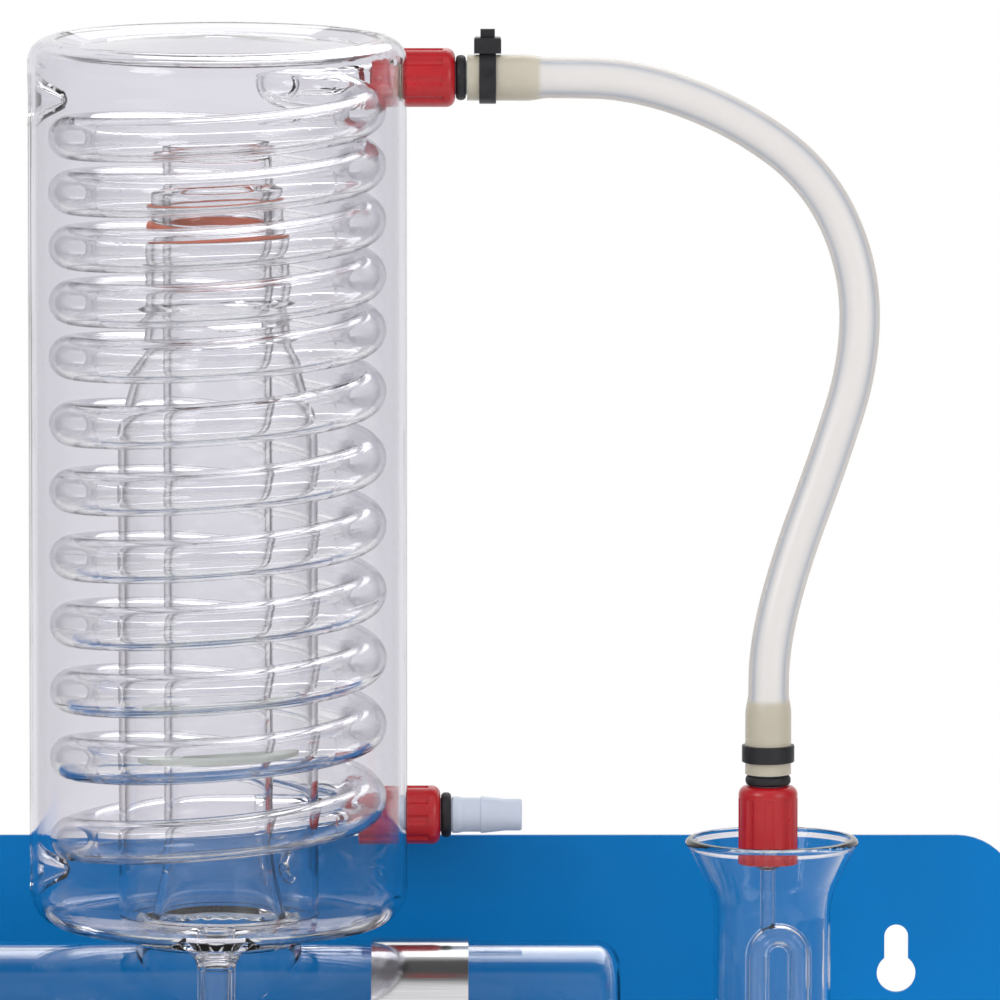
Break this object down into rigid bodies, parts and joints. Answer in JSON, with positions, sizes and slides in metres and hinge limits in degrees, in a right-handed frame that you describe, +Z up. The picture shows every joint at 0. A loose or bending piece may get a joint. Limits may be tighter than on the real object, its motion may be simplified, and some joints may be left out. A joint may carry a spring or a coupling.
{
  "type": "glass water still",
  "caption": "Wall-hung laboratory water still: horizontal glass boiler with heater, upright coil condenser on a vapour riser, constant-level tube and feed hose",
  "frame": {"origin": "on the wall, on the back face of the plate, midway between the two hanging screws and 2.4 mm above their centres", "axes": "X to the right along the wall as seen from the front, Y into the wall, Z up"},
  "size_m": [0.534, 0.1345, 0.442],
  "materials": {
    "boiler": "clear laboratory glass",
    "cable_gland": "moulded black plastic",
    "centring_ring": "pale translucent plastic",
    "condensate_well": "clear laboratory glass",
    "condenser_jacket": "clear laboratory glass",
    "cooling_coil": "clear laboratory glass",
    "drain_key": "white low-friction plastic",
    "feed_cap": "moulded red plastic",
    "feed_connector": "translucent natural plastic",
    "feed_ring": "black rubber",
    "feed_tie": "black nylon",
    "fixing_screws": "stainless steel",
    "heater_ring": "moulded red plastic",
    "heater_rod": "plain ceramic",
    "heater_sheath": "clear laboratory glass",
    "inlet_cap": "moulded red plastic",
    "inlet_connector": "translucent natural plastic",
    "inlet_ring": "black rubber",
    "left_strap": "polished stainless sheet",
    "level_clip": "stainless spring sheet",
    "level_inner_tube": "clear laboratory glass",
    "level_tube": "clear laboratory glass",
    "link_sleeve": "pale translucent silicone",
    "outlet_cap": "moulded red plastic",
    "outlet_connector": "translucent natural plastic",
    "outlet_ring": "black rubber",
    "outlet_tie": "black nylon",
    "right_strap": "polished stainless sheet",
    "riser_collar": "clear laboratory glass",
    "seal_ring": "orange silicone",
    "seat_ring": "pale translucent silicone",
    "terminal_cover": "moulded light grey plastic",
    "transfer_hose": "pale translucent silicone",
    "wall_plate": "satin blue paint"
  },
  "bodies": {
    "still": {"boiler": "boiler", "cable_gland": "cable_gland", "centring_ring": "centring_ring", "condensate_well": "condensate_well", "condenser_jacket": "condenser_jacket", "cooling_coil": "cooling_coil", "feed_connector": "feed_connector", "feed_ring": "feed_ring", "feed_tie": "feed_tie", "fixing_screws": "fixing_screws", "heater_ring": "heater_ring", "heater_rod": "heater_rod", "heater_sheath": "heater_sheath", "left_strap": "left_strap", "level_clip": "level_clip", "level_inner_tube": "level_inner_tube", "level_tube": "level_tube", "link_sleeve": "link_sleeve", "outlet_connector": "outlet_connector", "outlet_ring": "outlet_ring", "outlet_tie": "outlet_tie", "right_strap": "right_strap", "riser_collar": "riser_collar", "seal_ring": "seal_ring", "seat_ring": "seat_ring", "terminal_cover": "terminal_cover", "transfer_hose": "transfer_hose", "wall_plate": "wall_plate"},
    "drain_key": {"drain_key": "drain_key"},
    "outlet_cap": {"outlet_cap": "outlet_cap"},
    "feed_cap": {"feed_cap": "feed_cap"},
    "inlet_connector": {"inlet_connector": "inlet_connector", "inlet_ring": "inlet_ring"},
    "inlet_cap": {"inlet_cap": "inlet_cap"}
  },
  "joints": [
    {"name": "drain_key_turn", "type": "hinge", "parent": "still", "child": "drain_key", "pos_m": [0.106, -0.063, -0.104], "axis": [0, -1, 0], "range_deg": [0, 90]},
    {"name": "outlet_cap_turn", "type": "hinge", "parent": "still", "child": "outlet_cap", "pos_m": [0.06, -0.028, 0.2895], "axis": [1, 0, 0], "range_deg": [0, 90]},
    {"name": "feed_cap_turn", "type": "hinge", "parent": "still", "child": "feed_cap", "pos_m": [0.1819, -0.063, 0.045], "axis": [0, 0, 1], "range_deg": [0, 90]},
    {"name": "inlet_connector_slide", "type": "slide", "parent": "still", "child": "inlet_connector", "axis": [1, 0, 0], "range_m": [0, 0.006]},
    {"name": "inlet_cap_turn", "type": "hinge", "parent": "inlet_connector", "child": "inlet_cap", "pos_m": [0.056, -0.022, 0.0417], "axis": [1, 0, 0], "range_deg": [0, 720]}
  ],
  "couplings": [
    {"joint": "inlet_cap_turn", "follows": "inlet_connector_slide", "rad_per_m": 2094}
  ]
}
